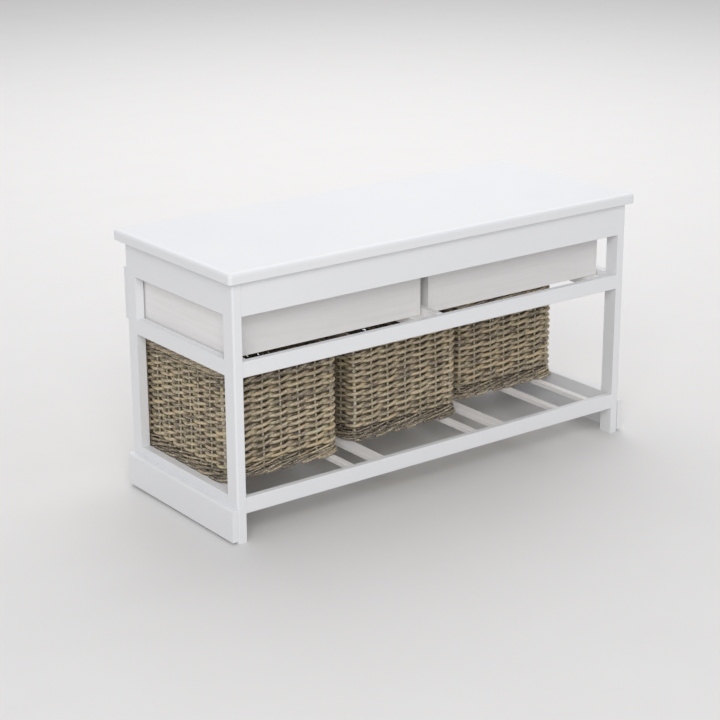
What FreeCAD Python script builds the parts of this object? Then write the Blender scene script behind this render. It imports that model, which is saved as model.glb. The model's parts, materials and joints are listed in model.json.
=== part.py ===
import FreeCAD, Part
import math
import os

# Entryway bench: a white-painted frame with a flat seat board, two drawers under the seat
# and three open-topped wicker baskets on a slatted shelf.  Millimetres, +Z up, +X to the
# right of a person facing the drawers, +Y towards the open back, floor at z = 0.

# Overall frame
overall_height = 500.0
frame_length = 925.0
frame_depth = 358.0
seat_thickness = 20.0
seat_end_overhang = 12.5
seat_back_overhang = 12.0
seat_front_overhang = 20.0

# Stock
leg_thickness = 18.0
leg_width = 31.0
rail_thickness = 13.0
board_thickness = 18.0
plinth_thickness = 12.0
leg_round = 3.5
leg_ease = 0.6
rail_round = 1.5
seat_round = 7.0
seat_bottom_chamfer = 1.0
plinth_round = 5.0

# Rail heights
apron_height = 63.0
mid_rail_bottom = 307.0
back_mid_rail_height = 29.0
end_mid_rail_height = 29.0
bottom_rail_bottom = 54.0
bottom_rail_height = 30.0
plinth_bottom = 5.0
plinth_top = 67.0

# Drawer supports
front_mid_rail_width = 60.0
centre_runner_width = 68.0
end_runner_width = 34.0
centre_guide_width = 12.0
centre_guide_height = 13.0
centre_post_thickness = 14.0
centre_post_width = 31.0

# Shelf slats, laid front to back
slat_thickness = 10.0
slat_drop = 4.0
front_rail_drop = 1.0
wide_slat_width = 26.0
wide_slat_shift = -14.0
narrow_slat_width = 14.0
narrow_slat_offset = 50.0
middle_slat_shift = -15.0
end_slat_width = 18.0
end_slat_dowel_depth = 12.0

# Drawers
drawer_front_thickness = 16.0
drawer_front_height = 99.0
drawer_front_end_inset = 4.5
drawer_front_centre_gap = 3.0
drawer_front_round = 3.0
drawer_side_thickness = 10.0
drawer_bottom_thickness = 4.0
drawer_groove_depth = 5.0
drawer_groove_rise = 6.0
drawer_headroom = 7.5
drawer_back_gap = 42.5
drawer_side_gap = 2.5
drawer_centre_gap = 19.0
slide_gap = 0.5
front_seat_gap = 0.5
front_rail_reveal = 3.0

# Knobs
knob_radius = 14.0
knob_depth = 24.0
knob_neck_radius = 7.0
knob_neck_depth = 9.0
knob_round = 4.5
knob_screw_radius = 2.0
knob_screw_head_radius = 4.5
knob_screw_head_depth = 2.5
knob_screw_bite = 11.0
screw_clearance = 0.2

# Baskets
basket_wall = 12.0
basket_floor = 8.0
basket_corner = 22.0
basket_border_height = 14.0
basket_border_overhang = 3.0
basket_side_gap = 6.0
basket_between_gap = 48.5
basket_depth_allowance = 30.0
basket_headroom = 15.5
basket_pull_depth = 18.0
basket_pull_height = 20.0
basket_pull_inset = 4.0
basket_pull_round = 6.0
# How far each basket stands pulled forward from the back bottom rail
basket_pulled_out = {"left": 157.0, "middle": 96.0, "right": 69.0}

# Dowels and fixings
dowel_radius = 3.0
dowel_in_leg = 10.0
dowel_in_rail = 20.0
seat_block_size = 20.0
seat_block_length = 45.0
seat_block_spread = 2 / 3
seat_screw_radius = 2.0
seat_screw_head_radius = 4.0
seat_screw_head_depth = 2.5
seat_screw_bite = 12.0

# Two faces or edges closer than this count as being in one plane
flat_enough = 0.001

# Derived places
half_length = frame_length / 2
half_depth = frame_depth / 2
inner_half = half_length - leg_thickness
seat_bottom = overall_height - seat_thickness
apron_bottom = seat_bottom - apron_height
runner_top = mid_rail_bottom + board_thickness
bottom_rail_top = bottom_rail_bottom + bottom_rail_height
slat_top = bottom_rail_top - slat_drop
leg_inner_y = half_depth - leg_width
back_rail_inner = half_depth - rail_thickness
front_rail_inner = -half_depth + rail_thickness
front_mid_rail_back = -half_depth + front_mid_rail_width
bay_count = len(basket_pulled_out)
bay_width = 2 * inner_half / bay_count
basket_bottom = slat_top + slide_gap
drawer_bottom = runner_top + slide_gap
drawer_front_back = -half_depth - front_seat_gap
drawer_outer = inner_half - drawer_side_gap
drawer_inner = drawer_centre_gap / 2
box_top = apron_bottom - drawer_headroom
box_back = back_rail_inner - drawer_back_gap
basket_row = 2 * (inner_half - basket_side_gap)
basket_width = (basket_row - (bay_count - 1) * basket_between_gap) / bay_count
basket_depth = frame_depth - rail_thickness - basket_depth_allowance
basket_top = mid_rail_bottom - basket_headroom
front_most = (back_rail_inner - max(basket_pulled_out.values()) - basket_depth
              - basket_border_overhang - basket_pull_depth)
back_most = half_depth + seat_back_overhang
origin_y = (front_most + back_most) / 2


def block(x0, x1, y0, y1, z0, z1):
    low = FreeCAD.Vector(min(x0, x1), min(y0, y1), z0)
    return Part.makeBox(abs(x1 - x0), abs(y1 - y0), z1 - z0, low)


def rod(radius, start, direction, length):
    return Part.makeCylinder(radius, length, FreeCAD.Vector(*start), FreeCAD.Vector(*direction))


def edges_along(shape, axis):
    # straight edges that run along one axis: 0 is X, 1 is Y, 2 is Z
    picked = []
    for edge in shape.Edges:
        a, b = edge.Vertexes[0].Point, edge.Vertexes[-1].Point
        span = [abs(b.x - a.x), abs(b.y - a.y), abs(b.z - a.z)]
        if span[axis] > flat_enough and sum(span) - span[axis] < flat_enough:
            picked.append(edge)
    return picked


def stands_at(edge, x, y):
    # whether an upright edge stands at this x, and at this y unless it is None
    point = edge.Vertexes[0].Point
    return abs(point.x - x) < flat_enough and (y is None or abs(point.y - y) < flat_enough)


def edges_at(shape, height):
    # the edges that lie level at one height
    return [e for e in shape.Edges
            if e.BoundBox.ZLength < flat_enough and abs(e.BoundBox.ZMin - height) < flat_enough]


def eased(shape, axis, radius):
    return shape.makeFillet(radius, edges_along(shape, axis))


def save(name, *solids):
    shape = solids[0] if len(solids) == 1 else Part.makeCompound(list(solids))
    placed = shape.copy()
    placed.translate(FreeCAD.Vector(0, -origin_y, 0))
    placed.exportStep("parts/" + name + ".step")


# Dowels: each is a pin across one leg-and-rail joint, with matching holes in both pieces
dowels = {"frame": [], "shelf": []}


def long_rail_dowels(y, z):
    # pins at both ends of a rail that runs along X between two legs
    for side in (-1, 1):
        start = (side * (inner_half - dowel_in_rail), y, z)
        dowels["frame"].append(rod(dowel_radius, start, (side, 0, 0), dowel_in_rail + dowel_in_leg))


def end_rail_dowels(x, z):
    # pins at both ends of a rail that runs along Y between a front leg and a back leg
    for side in (-1, 1):
        start = (x, side * (leg_inner_y - dowel_in_rail), z)
        dowels["frame"].append(rod(dowel_radius, start, (0, side, 0), dowel_in_rail + dowel_in_leg))


def slat_dowels(x, z):
    # pins from the front and back bottom rails into a slat's two ends
    depth_in_rail = rail_thickness / 2
    for side in (-1, 1):
        start = (x, side * (back_rail_inner - dowel_in_rail), z)
        pin = rod(dowel_radius, start, (0, side, 0), dowel_in_rail + depth_in_rail)
        dowels["shelf"].append(pin)


def drilled(shape, kind):
    near = [pin for pin in dowels[kind] if pin.BoundBox.intersect(shape.BoundBox)]
    return shape.cut(near) if near else shape


os.makedirs("parts", exist_ok=True)

# Seat board, held from below by screws through small blocks behind the aprons
seat = block(-half_length - seat_end_overhang, half_length + seat_end_overhang,
             -half_depth - seat_front_overhang, half_depth + seat_back_overhang,
             seat_bottom, overall_height)
seat = eased(seat, 2, seat_round)
seat = seat.makeFillet(seat_round, edges_at(seat, overall_height))
seat = seat.makeChamfer(seat_bottom_chamfer, edges_at(seat, seat_bottom))
seat_blocks = []
seat_screws = []
block_reach = inner_half * seat_block_spread
block_stations = [-block_reach, 0, block_reach]
for side in (-1, 1):
    wall = side * back_rail_inner
    for station in block_stations:
        body = block(station - seat_block_length / 2, station + seat_block_length / 2,
                     wall - side * seat_block_size, wall, seat_bottom - seat_block_size, seat_bottom)
        y = wall - side * seat_block_size / 2
        head_z = seat_bottom - seat_block_size - seat_screw_head_depth
        head = rod(seat_screw_head_radius, (station, y, head_z), (0, 0, 1), seat_screw_head_depth)
        shank_length = seat_screw_head_depth + seat_block_size + seat_screw_bite
        shank = rod(seat_screw_radius, (station, y, head_z), (0, 0, 1), shank_length)
        hole = rod(seat_screw_radius + screw_clearance, (station, y, head_z), (0, 0, 1), shank_length)
        seat = seat.cut(rod(seat_screw_radius, (station, y, seat_bottom), (0, 0, 1), seat_screw_bite))
        seat_blocks.append(body.cut(hole))
        seat_screws.append(head.fuse(shank).removeSplitter())
save("seat_board", seat)
save("seat_blocks", *seat_blocks)
save("seat_screws", *seat_screws)

# Rails that run along X
apron_mid = (apron_bottom + seat_bottom) / 2
back_mid = mid_rail_bottom + back_mid_rail_height / 2
bottom_mid = bottom_rail_bottom + bottom_rail_height / 2
front_rail_top = slat_top - front_rail_drop
front_bottom_mid = (bottom_rail_bottom + front_rail_top) / 2
front_board_mid = mid_rail_bottom + board_thickness / 2
back_y = half_depth - rail_thickness / 2
for height in (apron_mid, back_mid, bottom_mid):
    long_rail_dowels(back_y, height)
for height in (apron_mid, front_bottom_mid):
    long_rail_dowels(-back_y, height)
long_rail_dowels(-back_y, front_board_mid)

back_rails = {
    "back_apron": (apron_bottom, seat_bottom),
    "back_mid_rail": (mid_rail_bottom, mid_rail_bottom + back_mid_rail_height),
    "back_bottom_rail": (bottom_rail_bottom, bottom_rail_top),
}
front_rails = {
    "front_apron": (apron_bottom, seat_bottom),
    "front_bottom_rail": (bottom_rail_bottom, front_rail_top),
}

# Slat stations on the shelf
bay_lines = [inner_half - index * bay_width for index in range(bay_count + 1)]
slats = {}
for index in range(1, bay_count):
    slats["shelf_wide_slat_%d" % index] = (bay_lines[index] + wide_slat_shift, wide_slat_width)
for index in range(1, bay_count + 1):
    slats["shelf_narrow_slat_%d" % index] = (bay_lines[index] + narrow_slat_offset, narrow_slat_width)
middle_slat = bay_lines[bay_count] + bay_width / 2 + middle_slat_shift
slats["shelf_middle_slat"] = (middle_slat, narrow_slat_width)
slat_mid = slat_top - slat_thickness / 2
for centre, width in slats.values():
    slat_dowels(centre, slat_mid)
slats["shelf_end_slat"] = (inner_half - end_slat_width / 2, end_slat_width)
for side in (-1, 1):
    # this strip lies against the right end rail, so its pins run sideways into that rail
    start = (inner_half - end_slat_dowel_depth, side * leg_inner_y / 2, slat_mid)
    pin = rod(dowel_radius, start, (1, 0, 0), end_slat_dowel_depth + dowel_in_leg)
    dowels["shelf"].append(pin)

for name, (low, high) in back_rails.items():
    rail = eased(block(-inner_half, inner_half, back_rail_inner, half_depth, low, high), 0, rail_round)
    save(name, drilled(drilled(rail, "frame"), "shelf"))
for name, (low, high) in front_rails.items():
    rail = eased(block(-inner_half, inner_half, -half_depth, front_rail_inner, low, high), 0, rail_round)
    save(name, drilled(drilled(rail, "frame"), "shelf"))
for name, (centre, width) in slats.items():
    slat = block(centre - width / 2, centre + width / 2, front_rail_inner, back_rail_inner,
                 slat_top - slat_thickness, slat_top)
    save(name, drilled(eased(slat, 1, rail_round), "shelf"))

# End frames: two legs, three rails and the plinth board on the outside
end_rails = {
    "end_apron": (apron_bottom, seat_bottom),
    "end_mid_rail": (mid_rail_bottom, mid_rail_bottom + end_mid_rail_height),
    "end_bottom_rail": (bottom_rail_bottom, bottom_rail_top),
}
for side in (-1, 1):
    for low, high in end_rails.values():
        end_rail_dowels(side * (half_length - leg_thickness / 2), (low + high) / 2)

front_board = eased(block(-inner_half, inner_half, -half_depth, front_mid_rail_back,
                          mid_rail_bottom, runner_top), 0, rail_round)
for side in (-1, 1):
    hand = "right" if side > 0 else "left"
    outer = side * half_length
    inner = side * inner_half
    for end, face in (("front", -half_depth), ("back", half_depth)):
        leg = block(inner, outer, face, face - math.copysign(leg_width, face), 0, seat_bottom)
        corner = [e for e in edges_along(leg, 2) if stands_at(e, outer, face)]
        leg = leg.makeFillet(leg_round, corner)
        plain = [e for e in edges_along(leg, 2) if stands_at(e, inner, None)]
        leg = leg.makeFillet(leg_ease, plain)
        save("leg_%s_%s" % (end, hand), drilled(leg, "frame"))
    for name, (low, high) in end_rails.items():
        rail = eased(block(inner, outer, -leg_inner_y, leg_inner_y, low, high), 1, rail_round)
        save("%s_%s" % (name, hand), drilled(drilled(rail, "frame"), "shelf"))
    plinth = block(outer, outer + side * plinth_thickness, -half_depth, half_depth,
                   plinth_bottom, plinth_top)
    top_edge = [e for e in edges_along(plinth, 1)
                if abs(e.Vertexes[0].Z - plinth_top) < flat_enough
                and abs(e.Vertexes[0].X - (outer + side * plinth_thickness)) < flat_enough]
    save("plinth_" + hand, plinth.makeFillet(plinth_round, top_edge))

# Drawer supports: a flat front rail, flat runners with a guide between the drawers, and a post
save("front_mid_rail", drilled(front_board, "frame"))
for side in (-1, 1):
    hand = "right" if side > 0 else "left"
    runner = block(side * (inner_half - end_runner_width), side * inner_half,
                   front_mid_rail_back, back_rail_inner, mid_rail_bottom, runner_top)
    save("end_runner_" + hand, eased(runner, 1, rail_round))
centre_runner = block(-centre_runner_width / 2, centre_runner_width / 2,
                      front_mid_rail_back, back_rail_inner, mid_rail_bottom, runner_top)
save("centre_runner", eased(centre_runner, 1, rail_round))
guide = block(-centre_guide_width / 2, centre_guide_width / 2, front_mid_rail_back, back_rail_inner,
              runner_top, runner_top + centre_guide_height)
save("centre_guide", guide)
post = block(-centre_post_thickness / 2, centre_post_thickness / 2, -half_depth,
             -half_depth + centre_post_width, runner_top, apron_bottom)
save("front_centre_post", post)

# Drawers: an overlay front on a four-sided box with a thin bottom let into grooves
groove_low = drawer_bottom + drawer_groove_rise
groove_high = groove_low + drawer_bottom_thickness
front_low = runner_top + front_rail_reveal
front_high = front_low + drawer_front_height
for side in (-1, 1):
    hand = "right" if side > 0 else "left"
    near = side * drawer_inner
    far = side * drawer_outer
    wall = side * drawer_side_thickness
    panel = block(near + wall - side * drawer_groove_depth, far - wall + side * drawer_groove_depth,
                  drawer_front_back - drawer_groove_depth, box_back - drawer_side_thickness
                  + drawer_groove_depth, groove_low, groove_high)
    front = block(side * drawer_front_centre_gap / 2, side * (half_length - drawer_front_end_inset),
                  drawer_front_back - drawer_front_thickness, drawer_front_back, front_low, front_high)
    face_edges = [e for e in front.Edges
                  if abs(e.BoundBox.YMin - front.BoundBox.YMin) < flat_enough
                  and e.BoundBox.YLength < flat_enough]
    front = front.makeFillet(drawer_front_round, face_edges)
    knob_x = side * (drawer_front_centre_gap / 2 + half_length - drawer_front_end_inset) / 2
    knob_z = (front_low + front_high) / 2
    face_y = drawer_front_back - drawer_front_thickness
    screw_length = drawer_front_thickness + knob_screw_bite
    clear_hole = rod(knob_screw_radius + screw_clearance, (knob_x, drawer_front_back, knob_z),
                     (0, -1, 0), drawer_front_thickness)
    save("drawer_%s_front" % hand, front.cut([panel, clear_hole]))
    inner_side = block(near, near + wall, drawer_front_back, box_back, drawer_bottom, box_top)
    outer_side = block(far - wall, far, drawer_front_back, box_back, drawer_bottom, box_top)
    back = block(near + wall, far - wall, box_back - drawer_side_thickness, box_back,
                 drawer_bottom, box_top)
    save("drawer_%s_inner_side" % hand, inner_side.cut(panel))
    save("drawer_%s_outer_side" % hand, outer_side.cut(panel))
    save("drawer_%s_back" % hand, back.cut(panel))
    save("drawer_%s_bottom" % hand, panel)

    # Turned knob: a neck that swells into a rounded head, and the screw that holds it
    neck_end = face_y - knob_neck_depth
    neck = rod(knob_neck_radius, (knob_x, face_y, knob_z), (0, -1, 0), knob_neck_depth)
    head = rod(knob_radius, (knob_x, neck_end, knob_z), (0, -1, 0), knob_depth - knob_neck_depth)
    head = head.makeFillet(knob_round, [e for e in head.Edges if e.BoundBox.YLength < flat_enough])
    knob_hole = rod(knob_screw_radius, (knob_x, face_y, knob_z), (0, -1, 0), knob_screw_bite)
    save("drawer_%s_knob" % hand, neck.fuse(head).removeSplitter().cut(knob_hole))
    screw_head = rod(knob_screw_head_radius, (knob_x, drawer_front_back, knob_z), (0, 1, 0),
                     knob_screw_head_depth)
    shank = rod(knob_screw_radius, (knob_x, drawer_front_back + knob_screw_head_depth, knob_z),
                (0, -1, 0), knob_screw_head_depth + screw_length)
    save("drawer_%s_knob_screw" % hand, screw_head.fuse(shank).removeSplitter())

# Baskets: an open-topped woven shell, a border round its mouth and a rolled pull across the front
shell_top = basket_top - basket_border_height
basket_pitch = basket_width + basket_between_gap
for index, (hand, pulled_out) in enumerate(basket_pulled_out.items()):
    cx = (index - (bay_count - 1) / 2) * basket_pitch
    rear = back_rail_inner - pulled_out
    front = rear - basket_depth
    outer = eased(block(cx - basket_width / 2, cx + basket_width / 2, front, rear,
                        basket_bottom, shell_top), 2, basket_corner)
    hollow = eased(block(cx - basket_width / 2 + basket_wall, cx + basket_width / 2 - basket_wall,
                         front + basket_wall, rear - basket_wall,
                         basket_bottom + basket_floor, basket_top), 2,
                   basket_corner - basket_wall)
    border = eased(block(cx - basket_width / 2 - basket_border_overhang,
                         cx + basket_width / 2 + basket_border_overhang,
                         front - basket_border_overhang, rear + basket_border_overhang,
                         shell_top, basket_top), 2,
                   basket_corner + basket_border_overhang)
    pull_half = basket_width / 2 - basket_corner + basket_pull_inset
    pull = block(cx - pull_half, cx + pull_half, front - basket_border_overhang - basket_pull_depth,
                 front - basket_border_overhang, basket_top - basket_pull_height,
                 basket_top)
    save("basket_%s_shell" % hand, outer.cut(hollow))
    save("basket_%s_border" % hand, border.cut(hollow))
    save("basket_%s_pull" % hand, eased(pull, 0, basket_pull_round))

save("frame_dowels", *dowels["frame"])
save("shelf_dowels", *dowels["shelf"])
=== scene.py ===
import json
import math
import bpy
import numpy as np
from mathutils import Matrix, Vector


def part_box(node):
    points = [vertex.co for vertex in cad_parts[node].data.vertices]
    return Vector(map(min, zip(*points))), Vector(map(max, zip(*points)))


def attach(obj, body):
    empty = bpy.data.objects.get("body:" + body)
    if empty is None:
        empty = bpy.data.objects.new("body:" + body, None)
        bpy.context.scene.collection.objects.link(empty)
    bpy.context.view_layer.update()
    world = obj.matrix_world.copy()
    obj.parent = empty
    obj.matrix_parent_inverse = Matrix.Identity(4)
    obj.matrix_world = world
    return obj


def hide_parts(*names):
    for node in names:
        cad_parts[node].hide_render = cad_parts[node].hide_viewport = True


# An entryway bench: white-painted frame, two whitewashed drawers and three willow baskets.
# Metres, the same frame as the joinery: +X right, +Y towards the open back, +Z up.

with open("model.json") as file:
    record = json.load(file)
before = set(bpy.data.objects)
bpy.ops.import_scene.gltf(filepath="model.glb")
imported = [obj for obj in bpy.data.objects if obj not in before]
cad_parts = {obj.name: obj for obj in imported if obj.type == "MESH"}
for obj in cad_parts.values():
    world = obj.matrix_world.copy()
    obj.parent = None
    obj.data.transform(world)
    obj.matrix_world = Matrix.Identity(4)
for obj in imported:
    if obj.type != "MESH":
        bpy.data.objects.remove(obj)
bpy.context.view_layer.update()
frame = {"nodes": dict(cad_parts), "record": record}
print("stage 1: frame loaded,", len(frame["nodes"]), "pieces")


class Line:
    # One output of a material's nodes. Arithmetic on it adds the Math nodes.
    def __init__(self, finish, socket):
        self.finish = finish
        self.socket = socket

    def compute(self, operation, *values):
        return self.finish.node("ShaderNodeMath", {"operation": operation}, dict(enumerate(values)))

    def __add__(self, other):
        return self.compute("ADD", self, other)

    def __radd__(self, other):
        return self.compute("ADD", other, self)

    def __sub__(self, other):
        return self.compute("SUBTRACT", self, other)

    def __rsub__(self, other):
        return self.compute("SUBTRACT", other, self)

    def __mul__(self, other):
        return self.compute("MULTIPLY", self, other)

    def __rmul__(self, other):
        return self.compute("MULTIPLY", other, self)

    def __abs__(self):
        return self.compute("ABSOLUTE", self)

    def between(self, low, high):
        # 0 below low, 1 above high, smooth in between
        sockets = {0: self, 1: low, 2: high}
        return self.finish.node("ShaderNodeMapRange", {"interpolation_type": "SMOOTHSTEP"}, sockets)


class Finish:
    # One material. node() adds any node: its type, its settings, then values or links by socket.
    def __init__(self, name):
        self.material = bpy.data.materials.new(name)
        self.material.use_nodes = True
        self.tree = self.material.node_tree
        self.tree.nodes.clear()

    def node(self, kind, settings=None, sockets=None, out=0):
        made = self.tree.nodes.new(kind)
        for key, value in (settings or {}).items():
            if key == "stops":
                self.setStops(made.color_ramp, value)
            else:
                setattr(made, key, value)
        for key, value in (sockets or {}).items():
            if isinstance(value, Line):
                self.tree.links.new(value.socket, made.inputs[key])
            else:
                made.inputs[key].default_value = value
        return Line(self, made.outputs[out]) if len(made.outputs) else made

    def setStops(self, ramp, stops):
        # one ramp element for each (place, colour) pair
        while len(ramp.elements) < len(stops):
            ramp.elements.new(1.0)
        for element, (place, colour) in zip(ramp.elements, stops):
            element.position = place
            element.color = (*colour, 1.0)

    def noise(self, vector, scale, detail=3.0, roughness=0.55):
        # soft random values about 0.5, with the given number of cells per metre
        sockets = {"Vector": vector, "Scale": scale, "Detail": detail, "Roughness": roughness}
        return self.node("ShaderNodeTexNoise", {}, sockets)

    def stretched(self, vector, scale):
        # the coordinates times a scale of their own along each axis
        return self.node("ShaderNodeMapping", {}, {"Vector": vector, "Scale": scale})

    def blend(self, factor, first, second):
        # first at factor 0, second at factor 1; each a colour or an output of the nodes
        first, second = [c if isinstance(c, Line) else (*c, 1.0) for c in (first, second)]
        sockets = {0: factor, 6: first, 7: second}
        return self.node("ShaderNodeMix", {"data_type": "RGBA"}, sockets, 2)

    def shade(self, factor, colour):
        # the colour times a grey: multiply mix at full strength
        grey = self.node("ShaderNodeCombineColor", {}, {0: factor, 1: factor, 2: factor})
        settings = {"data_type": "RGBA", "blend_type": "MULTIPLY"}
        return self.node("ShaderNodeMix", settings, {0: 1.0, 6: colour, 7: grey}, 2)

    def surface(self, colour, roughness, height, depth, constants):
        # the shader, with a bump of the given depth in metres
        raised = {"Height": height, "Distance": depth, "Strength": 1.0}
        bump = self.node("ShaderNodeBump", {}, raised)
        sockets = {"Base Color": colour, "Roughness": roughness, "Normal": bump, **constants}
        shader = self.node("ShaderNodeBsdfPrincipled", {}, sockets)
        self.node("ShaderNodeOutputMaterial", {}, {"Surface": shader})
        return self.material


def axisScale(axis, along, across):
    # a scale vector with one value along the grain and another across it
    return tuple(along if index == axis else across for index in range(3))


paint = {
    "cool": (0.765, 0.778, 0.800),
    "warm": (0.795, 0.798, 0.808),
    "roughness": 0.36,
    "grainLength": 6.0,       # noise cells per metre along the grain
    "grainWidth": 160.0,      # and across it
    "peel": 900.0,            # the fine texture left by the spray gun
    "clouds": 9.0,
    "relief": 0.00012,        # depth of the bump, in metres
}

whitewash = {
    "wash": (0.83, 0.817, 0.808),
    "wood": (0.765, 0.740, 0.722),
    "endGrain": (0.81, 0.79, 0.775),
    "roughness": 0.58,
    "grainLength": 4.0,
    "grainWidth": 120.0,
    "bandLength": 1.2,        # the broad bands of early and late wood
    "bandWidth": 26.0,
    "poreLength": 40.0,
    "poreWidth": 620.0,
    "relief": 0.00018,
}


def paintedWood(axis):
    # Two close whites, mixed in long faint streaks where the grain shows through the paint,
    # under the even pebbling of sprayed satin lacquer.
    finish = Finish("satinWhite" + "XYZ"[axis])
    place = finish.node("ShaderNodeTexCoord", {}, {}, 3)
    long = finish.stretched(place, axisScale(axis, paint["grainLength"], paint["grainWidth"]))
    grain = finish.noise(long, 1.0, 4.0)
    peel = finish.noise(place, paint["peel"], 2.0)
    cloud = finish.noise(place, paint["clouds"])
    colour = finish.blend(grain * 0.5 + cloud * 0.5, paint["cool"], paint["warm"])
    roughness = paint["roughness"] + (cloud - 0.5) * 0.16 + (grain - 0.5) * 0.08
    height = grain * 0.45 + peel * 0.3
    constants = {"Specular IOR Level": 0.45}
    return finish.surface(colour, roughness, height, paint["relief"], constants)


def washedWood(axis):
    # Thin white wash over soft wood: streaks follow the length, dark pores break them up,
    # and the sawn ends take the wash more thickly.
    finish = Finish("whitewash" + "XYZ"[axis])
    place = finish.node("ShaderNodeTexCoord", {}, {}, 3)
    grainScale, bandScale, poreScale = [
        axisScale(axis, whitewash[part + "Length"], whitewash[part + "Width"])
        for part in ("grain", "band", "pore")]
    grain = finish.noise(finish.stretched(place, grainScale), 1.0, 5.0, 0.6)
    bands = finish.noise(finish.stretched(place, bandScale), 1.0)
    pores = finish.noise(finish.stretched(place, poreScale), 1.0, 2.0).between(0.60, 0.72)
    worn = (grain * 0.65 + bands * 0.35).between(0.42, 0.66)
    colour = finish.blend(worn * 0.5 + pores * 0.3, whitewash["wash"], whitewash["wood"])
    normal = finish.node("ShaderNodeNewGeometry", {}, {}, 1)
    turned = finish.node("ShaderNodeSeparateXYZ", {}, {0: normal}, axis)
    sawn = abs(turned).between(0.8, 0.95)
    colour = finish.blend(sawn * 0.5, colour, whitewash["endGrain"])
    roughness = whitewash["roughness"] + (grain - 0.5) * 0.25
    height = grain * 0.7 - pores * 0.5
    constants = {"Specular IOR Level": 0.35}
    return finish.surface(colour, roughness, height, whitewash["relief"], constants)


nickel = {
    "dark": (0.52, 0.51, 0.49),
    "bright": (0.68, 0.67, 0.65),
    "rings": 2600.0,          # turning lines per metre along the knob
    "ringLength": 60.0,
    "smudges": 70.0,
    "relief": 0.00004,
}


def brushedNickel():
    # Fine turning lines round the knob: noise stretched into thin rings about its axis.
    finish = Finish("brushedNickel")
    place = finish.node("ShaderNodeTexCoord", {}, {}, 3)
    ringScale = axisScale(1, nickel["rings"], nickel["ringLength"])
    lines = finish.noise(finish.stretched(place, ringScale), 1.0)
    smudge = finish.noise(place, nickel["smudges"])
    colour = finish.blend(lines * 0.6 + smudge * 0.4, nickel["dark"], nickel["bright"])
    roughness = 0.24 + lines * 0.14 + smudge * 0.06
    return finish.surface(colour, roughness, lines, nickel["relief"], {"Metallic": 1.0})


zinc = {
    "dark": (0.50, 0.51, 0.52),
    "bright": (0.74, 0.74, 0.72),
    "spangle": 700.0,
    "dullness": 300.0,
    "relief": 0.00003,
}


def zincPlate():
    # Blotchy bright zinc with a crystalline spangle.
    finish = Finish("zincPlate")
    place = finish.node("ShaderNodeTexCoord", {}, {}, 3)
    cells = finish.node("ShaderNodeTexVoronoi", {}, {"Vector": place, "Scale": zinc["spangle"]}, 1)
    spangle = finish.node("ShaderNodeSeparateColor", {}, {0: cells})
    dull = finish.noise(place, zinc["dullness"])
    colour = finish.blend(spangle * 0.7 + dull * 0.3, zinc["dark"], zinc["bright"])
    return finish.surface(colour, 0.30 + dull * 0.2, dull, zinc["relief"], {"Metallic": 1.0})


beech = {
    "fleck": (0.55, 0.38, 0.22),
    "wood": (0.70, 0.53, 0.35),
    "fleckScale": (120.0, 120.0, 900.0),
    "relief": 0.00005,
}


def rawBeech():
    # Short beech flecks along the dowel.
    finish = Finish("rawBeech")
    place = finish.node("ShaderNodeTexCoord", {}, {}, 3)
    flecks = finish.noise(finish.stretched(place, beech["fleckScale"]), 1.0)
    colour = finish.blend(flecks, beech["fleck"], beech["wood"])
    return finish.surface(colour, 0.6 + flecks * 0.1, flecks, beech["relief"], {})


# Each slot's finish with its grain along X, Y and Z
slotFinishes = {
    "white_paint": [paintedWood(axis) for axis in range(3)],
    "whitewashed_wood": [washedWood(axis) for axis in range(3)],
    "brushed_metal": [brushedNickel()] * 3,
    "zinc_steel": [zincPlate()] * 3,
    "beech_dowel": [rawBeech()] * 3,
}


def longestAxis(node):
    # the grain runs along the piece's longest side
    low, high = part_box(node)
    return max(range(3), key=lambda index: high[index] - low[index])


slotOf = {part["node"]: part["material_slot"] for part in frame["record"]["subparts"]}
for node, piece in frame["nodes"].items():
    if slotOf[node] in slotFinishes:
        material = slotFinishes[slotOf[node]][longestAxis(node)]
        for place in piece.material_slots:
            place.material = material
print("stage 2: joinery finished")


willow = {
    "bark": [
        (0.00, (0.118, 0.100, 0.078)),
        (0.22, (0.252, 0.214, 0.162)),
        (0.44, (0.425, 0.355, 0.235)),
        (0.62, (0.560, 0.475, 0.320)),
        (0.78, (0.550, 0.410, 0.235)),
        (0.90, (0.500, 0.465, 0.250)),
        (1.00, (0.530, 0.485, 0.405)),
    ],
    "pale": (0.70, 0.65, 0.55),
    "roughness": 0.62,
    "fibreLength": 24.0,
    "fibreWidth": 1100.0,
    "patchLength": 75.0,
    "patchWidth": 150.0,
    "budLength": 60.0,
    "budWidth": 190.0,
    "speckle": 300.0,
    "tuckedPaintedShade": 0.54,      # painted shade: how much darker a rod is coloured where it is tucked behind a stake
    "relief": 0.00055,
}


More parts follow.
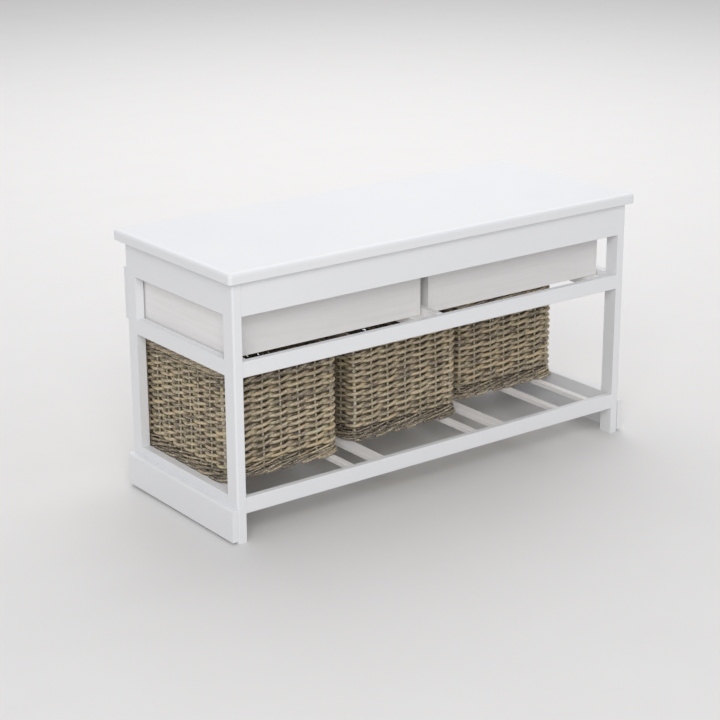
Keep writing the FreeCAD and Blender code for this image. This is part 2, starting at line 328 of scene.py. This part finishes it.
def willowBark():
    # Each rod has its own tone; fibres run along the rod, pale wash sits on parts of it,
    # and dark scars mark the buds. All patterns read the rod's own unrolled coordinates.
    finish = Finish("greyWillow")
    rod = finish.node("ShaderNodeAttribute", {"attribute_name": "rod"}, {}, 1)
    tone = finish.node("ShaderNodeAttribute", {"attribute_name": "tone"}, {}, 2)
    tucked = finish.node("ShaderNodeAttribute", {"attribute_name": "tucked"}, {}, 2)
    fibreScale, patchScale, budScale = [
        axisScale(0, willow[part + "Length"], willow[part + "Width"])
        for part in ("fibre", "patch", "bud")]
    fibres = finish.noise(finish.stretched(rod, fibreScale), 1.0, 4.0, 0.6)
    patches = finish.noise(finish.stretched(rod, patchScale), 1.0, 4.0, 0.65)
    buds = finish.noise(finish.stretched(rod, budScale), 1.0, 1.0).between(0.64, 0.72)
    speckle = finish.noise(rod, willow["speckle"], 2.0)
    shift = tone + (patches - 0.5) * 1.15 + (speckle - 0.5) * 0.7 + (fibres - 0.5) * 0.3
    bark = finish.node("ShaderNodeValToRGB", {"stops": willow["bark"]}, {0: shift})
    washed = (speckle * 0.45 + fibres * 0.55).between(0.50, 0.66)
    colour = finish.blend(washed * 0.5, bark, willow["pale"])
    colour = finish.shade(1.0 - buds * 0.6, colour)
    colour = finish.shade(0.58 + fibres * 0.40 + speckle * 0.45, colour)
    # painted shade: the colour darkens where the rod passes inside, behind a stake, where shade
    # falls
    colour = finish.shade(1.0 - tucked * willow["tuckedPaintedShade"], colour)
    roughness = willow["roughness"] + (fibres - 0.5) * 0.3
    height = fibres * 0.5 + patches * 0.6 + speckle * 0.4 - buds * 0.5
    constants = {"Specular IOR Level": 0.3}
    return finish.surface(colour, roughness, height, willow["relief"], constants)


basket = {
    "corner": 0.022,          # outer corner radius of the wall
    "inset": 0.0080,          # from the wall's outer face to the line of the stakes
    "stakesAcross": 6,        # stake spacings on a side that runs along X
    "stakesDeep": 8,          # and on a side that runs along Y
    "stakeRadius": 0.0020,
    "cornerStakeRadius": 0.0034,
    "rowPitch": 0.0132,
    "rowSway": 0.0007,        # how far a row wanders up and down
    "footHeight": 0.0235,     # from the bottom to the first paired row
    "headHeight": 0.0070,     # from the last paired row to the border
    "stakeFoot": 0.0040,      # where the stakes start above the bottom
    "stakeHead": 0.0050,      # and where they end below the border's top
    "samples": 12,            # rings to each stake spacing
    "sides": 7,
}

# How light each kind of rod is, on the bark's ramp
tones = {"weaver": 0.48, "packing": 0.40, "stake": 1.0, "foot": 0.30, "footRow": 0.22,
         "stick": 0.45, "baseWeaver": 0.50, "rim": 0.36, "rimEdge": 0.34, "pull": 0.42,
         "binding": 0.35}

# Twisted rows: strands that turn about each other as they pass the stakes
pairRow = {"strands": 2, "period": 2, "outReach": 0.0050, "upReach": 0.0029,
           "butt": 0.0036, "tip": 0.0029, "rodsRound": (4, 5, 5)}
waleRow = {"strands": 4, "period": 4, "outReach": 0.0040, "upReach": 0.0058,
           "butt": 0.0020, "tip": 0.0015, "rodsRound": (2, 2, 3)}
rimRow = {"strands": 6, "period": 4, "outReach": 0.0043, "upReach": 0.0043,
          "butt": 0.0028, "tip": 0.0022, "rodsRound": (2, 2, 3)}
rimEdgeRow = {**waleRow, "upReach": 0.0030}

# Where the rows of the rim and the foot stand
rim = {"outShift": 0.0026, "edgeDrop": 0.0035}
footRows = {"heights": (0.0095, 0.0175), "flares": (0.0044, 0.0028)}


class Wall:
    # The line of the stakes: a rounded rectangle, walked to the right as seen from outside,
    # starting at the middle of a corner. Station u counts stakes, so a whole u is a stake.
    def __init__(self, low, high, inset):
        self.radius = basket["corner"] - inset
        self.centre = np.array([(low.x + high.x) / 2, (low.y + high.y) / 2])
        halfX = (high.x - low.x) / 2 - basket["corner"]
        halfY = (high.y - low.y) / 2 - basket["corner"]
        self.run = np.array([2 * halfY, 2 * halfX, 2 * halfY, 2 * halfX])
        self.out = np.array([[1, 0], [0, 1], [-1, 0], [0, -1]], float)
        self.ahead = np.array([[0, 1], [-1, 0], [0, -1], [1, 0]], float)
        self.start = np.array([[halfX, -halfY], [halfX, halfY], [-halfX, halfY], [-halfX, -halfY]])
        counts = [basket["stakesDeep"], basket["stakesAcross"]] * 2
        self.stakes = sum(counts)
        self.stakeKnots = np.concatenate([[0], np.cumsum(counts)]).astype(float)
        self.cornerArc = math.pi / 4 * self.radius
        self.lengthKnots = np.concatenate([[0], np.cumsum(self.run + 2 * self.cornerArc)])

    def at(self, u, out, z):
        # Position: corner centre, plus the run along the side, plus the corner radius and the
        # outward offset times a direction that turns an eighth at each end of the side.
        turns = np.mod(u, self.stakes)
        length = np.interp(turns, self.stakeKnots, self.lengthKnots)
        side = np.clip(np.searchsorted(self.lengthKnots, length, "right") - 1, 0, 3)
        gone = length - self.lengthKnots[side] - self.cornerArc
        angle = (np.clip(gone / self.radius, -math.pi / 4, 0)
                 + np.clip((gone - self.run[side]) / self.radius, 0, math.pi / 4))
        run = np.clip(gone, 0, self.run[side])
        facing = (np.cos(angle)[:, None] * self.out[side]
                  + np.sin(angle)[:, None] * self.ahead[side])
        flat = self.centre + self.start[side] + run[:, None] * self.ahead[side]
        flat = flat + (self.radius + np.broadcast_to(out, u.shape))[:, None] * facing
        path = np.column_stack([flat, np.broadcast_to(z, u.shape)])
        return path, np.column_stack([facing, np.zeros(len(u))])


def smoothStep(x):
    # three times the square less twice the cube: level at 0 and at 1
    x = np.clip(x, 0, 1)
    return x * x * (3 - 2 * x)


def rodSurface(rod, sides):
    # A round section carried along the rod's path: corner j of ring i stands at the path point
    # plus the radius times (cosine of the corner's angle outward, sine of it across).
    path, radius = rod["path"], rod["radius"]
    step = np.gradient(path, axis=0)
    ahead = step / np.linalg.norm(step, axis=1)[:, None]
    outward = rod["outward"] - np.sum(rod["outward"] * ahead, axis=1)[:, None] * ahead
    outward = outward / np.linalg.norm(outward, axis=1)[:, None]
    across = np.cross(ahead, outward)
    angle = np.arange(sides) * 2 * math.pi / sides
    spread = (np.cos(angle)[None, :, None] * outward[:, None, :]
              + np.sin(angle)[None, :, None] * across[:, None, :])
    points = path[:, None, :] + radius[:, None, None] * spread
    along = np.concatenate([[0], np.cumsum(np.linalg.norm(np.diff(path, axis=0), axis=1))])
    unrolled = np.stack(np.broadcast_arrays(
        along[:, None] + rod["offset"],
        radius[:, None] * np.cos(angle)[None, :] + rod["offset"],
        radius[:, None] * np.sin(angle)[None, :]), axis=2)
    ring = np.arange(len(path) - 1)[:, None] * sides
    corner = np.arange(sides)[None, :]
    after = (corner + 1) % sides
    quads = np.stack([ring + corner, ring + after,
                      ring + sides + after, ring + sides + corner], axis=2)
    first = np.arange(sides)[::-1]
    last = (len(path) - 1) * sides + np.arange(sides)
    return points.reshape(-1, 3), unrolled.reshape(-1, 3), quads.reshape(-1, 4), [first, last]


def rodPiece(name, rods, sides, material):
    # All rods of one piece in one mesh, with their unrolled coordinates, tones and painted shade
    points, unrolled, tones, tucked, quads, ends = [], [], [], [], [], []
    count = 0
    for rod in rods:
        made = rodSurface(rod, sides)
        points.append(made[0])
        unrolled.append(made[1])
        tones.append(np.full(len(made[0]), rod["tone"]))
        tucked.append(np.repeat(rod["tucked"], sides))
        quads.append(made[2] + count)
        ends += [end + count for end in made[3]]
        count += len(made[0])
    quads = np.concatenate(quads)
    mesh = bpy.data.meshes.new(name)
    faces = quads.tolist() + [end.tolist() for end in ends]
    mesh.from_pydata(np.concatenate(points).tolist(), [], faces)
    smooth = np.arange(len(quads) + len(ends)) < len(quads)
    mesh.polygons.foreach_set("use_smooth", smooth)
    mesh.attributes.new("rod", "FLOAT_VECTOR", "POINT").data.foreach_set(
        "vector", np.concatenate(unrolled).astype(np.float32).ravel())
    for label, values in (("tone", tones), ("tucked", tucked)):
        mesh.attributes.new(label, "FLOAT", "POINT").data.foreach_set(
            "value", np.concatenate(values).astype(np.float32))
    mesh.materials.append(material)
    mesh.update()
    piece = bpy.data.objects.new(name, mesh)
    bpy.context.scene.collection.objects.link(piece)
    return piece


# tucked: how much painted shade darkens the rod's colour at each point of its path
def newRod(path, radius, outward, rng, tone, tucked=0.0):
    # offset moves the bark's pattern, so that no two rods look alike
    return {"path": path, "radius": radius, "outward": outward, "tone": tone,
            "tucked": np.broadcast_to(tucked, len(path)), "offset": rng.uniform(0, 40)}


def rodTone(rng, middle, spread=0.12):
    # a normal draw about the middle tone
    return float(np.clip(rng.normal(middle, spread), 0, 1.1))


strand = {
    "pastStake": 0.4,         # how far a rod runs on past its last stake, in stakes
    "endEase": 0.7,           # over how many stakes its end turns inwards
    "endTuck": 0.0025,
    "drift": 0.00025,         # the height a whole rod is out by
    "kink": 0.0002,           # and the height it wanders by along its length
    "lump": 0.07,             # uneven thickness, as a share of the radius
}


def twistedRow(wall, height, row, rng, tone, outShift=0.0):
    # A strand stands off the row by its reach times the cosine outward, and upward by its reach
    # times a triangle wave, of an angle that turns once in a period of stakes. The strand is
    # several rods, whose ends are tucked inside the basket behind a stake.
    rods = []
    waves = [(n, rng.uniform(0, 2 * math.pi)) for n in (1, 2, 3, 5)]
    period = row["period"]
    for turn in np.arange(row["strands"]) / row["strands"]:
        behind = period * (0.5 - turn)
        gaps = rng.permutation(row["rodsRound"])
        place = behind + period * rng.integers(wall.stakes // period)
        for gap in gaps:
            first = place - strand["pastStake"]
            last = place + gap * period + strand["pastStake"]
            place += gap * period
            u = np.linspace(first, last, int((last - first) * basket["samples"]) + 1)
            angle = 2 * math.pi * (u / period + turn)
            sway = sum(np.sin(n * u * 2 * math.pi / wall.stakes + p) for n, p in waves)
            kinks = [np.sin(u * rng.uniform(2, 11) + rng.uniform(0, 6)) for _ in range(3)]
            wander = rng.normal(0, strand["drift"]) + strand["kink"] * sum(kinks)
            ease = strand["endEase"]
            ends = 1 - smoothStep((u - first) / ease) * smoothStep((last - u) / ease)
            out = row["outReach"] * rng.uniform(0.92, 1.1) * np.cos(angle)
            out = out - strand["endTuck"] * ends + outShift
            up = row["upReach"] * rng.uniform(0.9, 1.12) * 2 / math.pi * np.arcsin(np.sin(angle))
            z = height + up + basket["rowSway"] * 0.5 * sway + wander
            path, outward = wall.at(u, out, z)
            share = (u - first) / (last - first)
            share = share if rng.random() < 0.5 else 1 - share
            radius = row["butt"] + (row["tip"] - row["butt"]) * share
            lumps = [np.sin(u * rng.uniform(2, 9) + rng.uniform(0, 6)) for _ in range(3)]
            radius = radius * (1 + strand["lump"] * sum(lumps))
            # painted shade: near 1 where the strand passes inside, behind a stake, near 0 outside
            tucked = smoothStep(0.1 - 0.9 * np.cos(angle))
            rods.append(newRod(path, radius, outward, rng, rodTone(rng, tone), tucked))
    return rods


packing = {
    "depth": 0.0062,          # inside the line of the stakes
    "radius": 0.0040,
    "overlap": 0.6,           # how far its two ends pass each other, in stakes
    "samples": 6,
    # painted shade over the whole packing rod, which lies inside the stakes
    "shade": 0.6,
}


def packingRod(wall, height, rng):
    # One rod laid once round the inside of the stakes between two rows, which fills the wall;
    # its height and its radius each follow a slow sine
    first = rng.uniform(0, wall.stakes)
    last = first + wall.stakes + packing["overlap"]
    u = np.linspace(first, last, wall.stakes * packing["samples"])
    z = height + 0.0003 * np.sin(u * 1.7 + first)
    path, outward = wall.at(u, -packing["depth"], z)
    radius = packing["radius"] * (1 + 0.06 * np.sin(u * 3.1 + rng.uniform(0, 6)))
    tone = rodTone(rng, tones["packing"])
    return newRod(path, radius, outward, rng, tone, packing["shade"])


def stakeRods(wall, low, high, rng):
    # Uprights: nearly straight, with a slight lean and bow of their own, each a sine of the
    # share of the height
    rods = []
    for index in range(wall.stakes):
        z = np.linspace(low, high, 16)
        share = (z - low) / (high - low)
        u = index + 0.05 * rng.normal() + 0.04 * np.sin(share * math.pi * rng.uniform(1, 3))
        out = 0.0004 * np.sin(share * 5 + rng.uniform(0, 6))
        path, outward = wall.at(np.asarray(u), out, z)
        corner = index in wall.stakeKnots
        thick = basket["cornerStakeRadius"] if corner else basket["stakeRadius"]
        radius = thick * (1.08 - 0.16 * share)
        rods.append(newRod(path, radius, outward, rng, rodTone(rng, tones["stake"], 0.02)))
    return rods


foot = {"reach": 1.75, "butt": 0.0029, "tip": 0.0018, "flare": 0.0058, "standOff": 0.0042,
        "rise": 0.0095}


def footRods(wall, low, rng):
    # The bottom border: from each stake a rod lies along the foot, its cut end outermost,
    # and climbs under the next one
    rods = []
    for index in range(wall.stakes):
        share = np.linspace(0, 1, 15)
        u = index + rng.normal(0, 0.06) + share * foot["reach"] * rng.uniform(0.9, 1.1)
        z = low + foot["butt"] + foot["rise"] * smoothStep(share * 1.1 - 0.15)
        out = foot["flare"] * (1 - smoothStep(share * 1.2 - 0.35)) + foot["standOff"]
        radius = foot["butt"] + (foot["tip"] - foot["butt"]) * share
        path, outward = wall.at(u, out, z)
        rods.append(newRod(path, radius, outward, rng, rodTone(rng, tones["foot"], 0.1)))
    return rods


base = {"stickSpacing": 0.036, "stickRadius": 0.0030, "stickSamples": 12,
        "weaverPitch": 0.0068, "weaverRadius": 0.0024, "weaverSamples": 44,
        "thinnest": 0.0018, "thickest": 0.0030, "reach": 0.0028, "lift": 0.0062,
        "margin": 0.006, "weaverMargin": 0.004}


def baseRods(low, high, rng):
    # The bottom: thick sticks from front to back, with thin rods woven over and under them;
    # a weaver's height is its reach times the cosine of its place between the sticks
    rods = []
    centre = (low + high) / 2
    halfX = (high.x - low.x) / 2 - base["margin"]
    halfY = (high.y - low.y) / 2 - base["margin"]
    level = low.z + base["lift"]
    sticks = int(halfX / base["stickSpacing"])
    rings = base["stickSamples"]
    outward = np.tile([0.0, 0.0, 1.0], (rings, 1))
    for index in range(-sticks, sticks + 1):
        y = np.linspace(-halfY, halfY, rings)
        x = centre.x + index * base["stickSpacing"] + 0.0008 * np.sin(y * 20 + index)
        path = np.column_stack([x, centre.y + y, np.full(rings, level)])
        radius = np.full(rings, base["stickRadius"])
        rods.append(newRod(path, radius, outward, rng, rodTone(rng, tones["stick"])))
    weavers = int(2 * (halfY - base["weaverMargin"]) / base["weaverPitch"]) + 1
    rings = base["weaverSamples"]
    outward = np.tile([0.0, 0.0, 1.0], (rings, 1))
    for index in range(weavers):
        x = np.linspace(-halfX, halfX, rings)
        y = (index - (weavers - 1) / 2) * base["weaverPitch"] + 0.0005 * np.sin(x * 60 + index)
        z = level + base["reach"] * np.cos(math.pi * (x / base["stickSpacing"] + index))
        path = np.column_stack([centre.x + x, centre.y + y, z])
        radius = base["weaverRadius"] * (1 + 0.15 * rng.normal() * x / halfX)
        radius = np.clip(radius, base["thinnest"], base["thickest"])
        rods.append(newRod(path, radius, outward, rng, rodTone(rng, tones["baseWeaver"])))
    return rods


handle = {
    "strands": 7,
    "strandRadius": 0.0026,
    "turn": 0.120,            # length of one turn of a strand
    "samples": 90,
    "lengthShare": 0.985,
    "endLength": 0.026,       # over which each end bends back into the rim
    "bendBack": 0.017,
    "endNarrowing": 0.35,
    "wrapRadius": 0.0013,
    "wrapTurns": 4.5,
    "wrapSamples": 18,        # rings to each turn of a binding
    "wrapPlaces": (-0.86, -0.3, 0.3, 0.86),
    "wrapReach": 0.9,
    "wrapPitch": 2.1,         # spacing of a binding's turns, in its rod's radii
    "wrapMargin": 0.0002,
}


def handleRods(low, high, rng):
    # The rolled pull: strands wound round a core, their ends bent back into the rim, bound in
    # four places. A strand's offset turns once in each turn length along X.
    centre = (low + high) / 2
    halfLength = (high.x - low.x) / 2
    wrap = handle["wrapRadius"] + handle["wrapMargin"]
    deep = (high.y - low.y) / 2 - 2 * wrap - handle["strandRadius"]
    tall = (high.z - low.z) / 2 - 2 * wrap - handle["strandRadius"]
    x = np.linspace(-halfLength, halfLength, handle["samples"]) * handle["lengthShare"]
    end = smoothStep((np.abs(x) - halfLength + handle["endLength"]) / handle["endLength"])
    back = handle["bendBack"] * end
    outward = np.tile([0.0, -1.0, 0.0], (handle["samples"], 1))
    rods = []
    for index in range(handle["strands"] + 1):
        core = index == handle["strands"]
        angle = 2 * math.pi * (x / handle["turn"] + index / handle["strands"])
        reach = 0.0 if core else 1.0 - handle["endNarrowing"] * end
        path = np.column_stack([centre.x + x,
                                centre.y + back + deep * reach * np.cos(angle),
                                centre.z + tall * reach * np.sin(angle) - 0.2 * back])
        thick = deep if core else handle["strandRadius"]
        radius = thick * (1 + 0.06 * np.sin(x * 50 + rng.uniform(0, 6)))
        rods.append(newRod(path, radius, outward, rng, rodTone(rng, tones["pull"])))
    rings = int(handle["wrapTurns"] * handle["wrapSamples"])
    turn = np.linspace(0, 2 * math.pi * handle["wrapTurns"], rings)
    ringDeep = deep + handle["strandRadius"] + handle["wrapRadius"]
    ringTall = tall + handle["strandRadius"] + handle["wrapRadius"]
    shift = turn / (2 * math.pi) * handle["wrapRadius"] * handle["wrapPitch"]
    for share in handle["wrapPlaces"]:
        place = share * halfLength * handle["wrapReach"]
        path = np.column_stack([centre.x + place + shift,
                                centre.y + ringDeep * np.cos(turn),
                                centre.z + ringTall * np.sin(turn)])
        out = np.column_stack([np.zeros(rings), np.cos(turn), np.sin(turn)])
        radius = np.full(rings, handle["wrapRadius"])
        rods.append(newRod(path, radius, out, rng, rodTone(rng, tones["binding"])))
    return rods


bark = willowBark()


def makeBasket(body, seed):
    # Stakes first, then paired rows at equal heights with a packing rod at each step between
    # them, then the rim, the foot and the pull. Each piece rides on its own basket.
    rng = np.random.default_rng(seed)
    low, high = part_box(body + "_shell")
    rimLow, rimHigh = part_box(body + "_border")
    wall = Wall(low, high, basket["inset"])
    bottom, top = low.z + basket["footHeight"], high.z - basket["headHeight"]
    rows = round((top - bottom) / basket["rowPitch"])
    walls = stakeRods(wall, low.z + basket["stakeFoot"], rimHigh.z - basket["stakeHead"], rng)
    pitch = (top - bottom) / rows
    for height in bottom + pitch * (np.arange(rows) + 0.5):
        walls += twistedRow(wall, height, pairRow, rng, tones["weaver"])
    for height in bottom + pitch * np.arange(rows + 1):
        walls.append(packingRod(wall, height, rng))
    middle = (rimLow.z + rimHigh.z) / 2
    border = twistedRow(wall, middle, rimRow, rng, tones["rim"], rim["outShift"])
    border += twistedRow(wall, high.z - rim["edgeDrop"], rimEdgeRow, rng, tones["rimEdge"])
    feet = footRods(wall, low.z, rng) + baseRods(low, high, rng)
    for height, flare in zip(footRows["heights"], footRows["flares"]):
        feet += twistedRow(wall, low.z + height, waleRow, rng, tones["footRow"], flare)
    pull = handleRods(*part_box(body + "_pull"), rng)
    pieces = {
        "walls": (walls, basket["sides"], "_shell"),
        "base": (feet, 6, "_shell"),
        "rim": (border, basket["sides"], "_border"),
        "handle": (pull, 8, "_pull"),
    }
    for name, (rods, sides, node) in pieces.items():
        piece = rodPiece(body + "_" + name, rods, sides, bark)
        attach(piece, body)
        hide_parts(body + node)


for seed, body in enumerate(("basket_left", "basket_middle", "basket_right"), 11):
    makeBasket(body, seed)
print("stage 3: baskets woven")


studio = {
    "floorSize": 30.0,
    "floorLight": (0.740, 0.730, 0.722),
    "floorDark": (0.712, 0.702, 0.692),
    "floorClouds": 6.0,
    "floorRoughness": 0.55,
    "floorRelief": 0.0002,
    "skyColour": (1.0, 1.0, 1.02),
    "skyStrength": 0.545,
    "panels": {
        "window": {"place": (-1.9, -2.5, 3.0), "aim": (-1.9, -2.5, 0.0),
                   "size": 5.0, "power": 110.0},
        "nearFill": {"place": (3.1, 4.0, 3.2), "aim": (0.0, 0.0, 0.3),
                     "size": 3.0, "power": 150.0},
    },
}


def studioFloor():
    # A pale seamless floor with a barely visible mottling
    half = studio["floorSize"] / 2
    mesh = bpy.data.meshes.new("floor")
    corners = [(-half, -half, 0), (half, -half, 0), (half, half, 0), (-half, half, 0)]
    mesh.from_pydata(corners, [], [(0, 1, 2, 3)])
    finish = Finish("studioFloor")
    place = finish.node("ShaderNodeTexCoord", {}, {}, 3)
    cloud = finish.noise(place, studio["floorClouds"], 4.0)
    colour = finish.blend(cloud, studio["floorLight"], studio["floorDark"])
    roughness = studio["floorRoughness"] + cloud * 0.1
    mesh.materials.append(finish.surface(colour, roughness, cloud, studio["floorRelief"], {}))
    floor = bpy.data.objects.new("floor", mesh)
    bpy.context.scene.collection.objects.link(floor)


def softPanel(name, settings):
    # a square lamp at its place, turned so that it shines at its aim
    lamp = bpy.data.lights.new(name, "AREA")
    lamp.shape = "SQUARE"
    lamp.size = settings["size"]
    lamp.energy = settings["power"]
    panel = bpy.data.objects.new(name, lamp)
    panel.location = settings["place"]
    aim = Vector(settings["aim"]) - Vector(settings["place"])
    panel.rotation_euler = aim.to_track_quat("-Z", "Y").to_euler()
    bpy.context.scene.collection.objects.link(panel)


def studioSky():
    # even light from all round
    world = bpy.data.worlds.new("studio")
    world.use_nodes = True
    background = world.node_tree.nodes["Background"]
    background.inputs["Color"].default_value = (*studio["skyColour"], 1.0)
    background.inputs["Strength"].default_value = studio["skyStrength"]
    bpy.context.scene.world = world


studioFloor()
studioSky()
for name, settings in studio["panels"].items():
    softPanel(name, settings)
bpy.context.scene.view_settings.view_transform = "Standard"

view = {
    "place": (2.13014, 2.83334, 1.37415),
    "turn": 36.838,           # degrees round from looking along -Y towards -X
    "dip": 18.568,            # degrees below level
    "roll": -0.2845,
    "lens": 94.6,
    "sensorWidth": 36.0,
}


def placeCamera():
    # The camera looks ahead by its turn and its dip. Its right is level and its up is square to
    # both, before the roll turns the two together.
    turn, dip, roll = (math.radians(view[key]) for key in ("turn", "dip", "roll"))
    ahead = Vector((-math.sin(turn) * math.cos(dip), -math.cos(turn) * math.cos(dip),
                    -math.sin(dip)))
    right = ahead.cross(Vector((0, 0, 1))).normalized()
    up = right.cross(ahead)
    rolledRight = right * math.cos(roll) + up * math.sin(roll)
    rolledUp = up * math.cos(roll) - right * math.sin(roll)
    turned = Matrix((rolledRight, rolledUp, -ahead)).transposed()
    lens = bpy.data.cameras.new("camera")
    lens.lens = view["lens"]
    lens.sensor_width = view["sensorWidth"]
    camera = bpy.data.objects.new("camera", lens)
    camera.matrix_world = Matrix.Translation(view["place"]) @ turned.to_4x4()
    bpy.context.scene.collection.objects.link(camera)
    bpy.context.scene.camera = camera


placeCamera()
print("stage 4: studio ready")
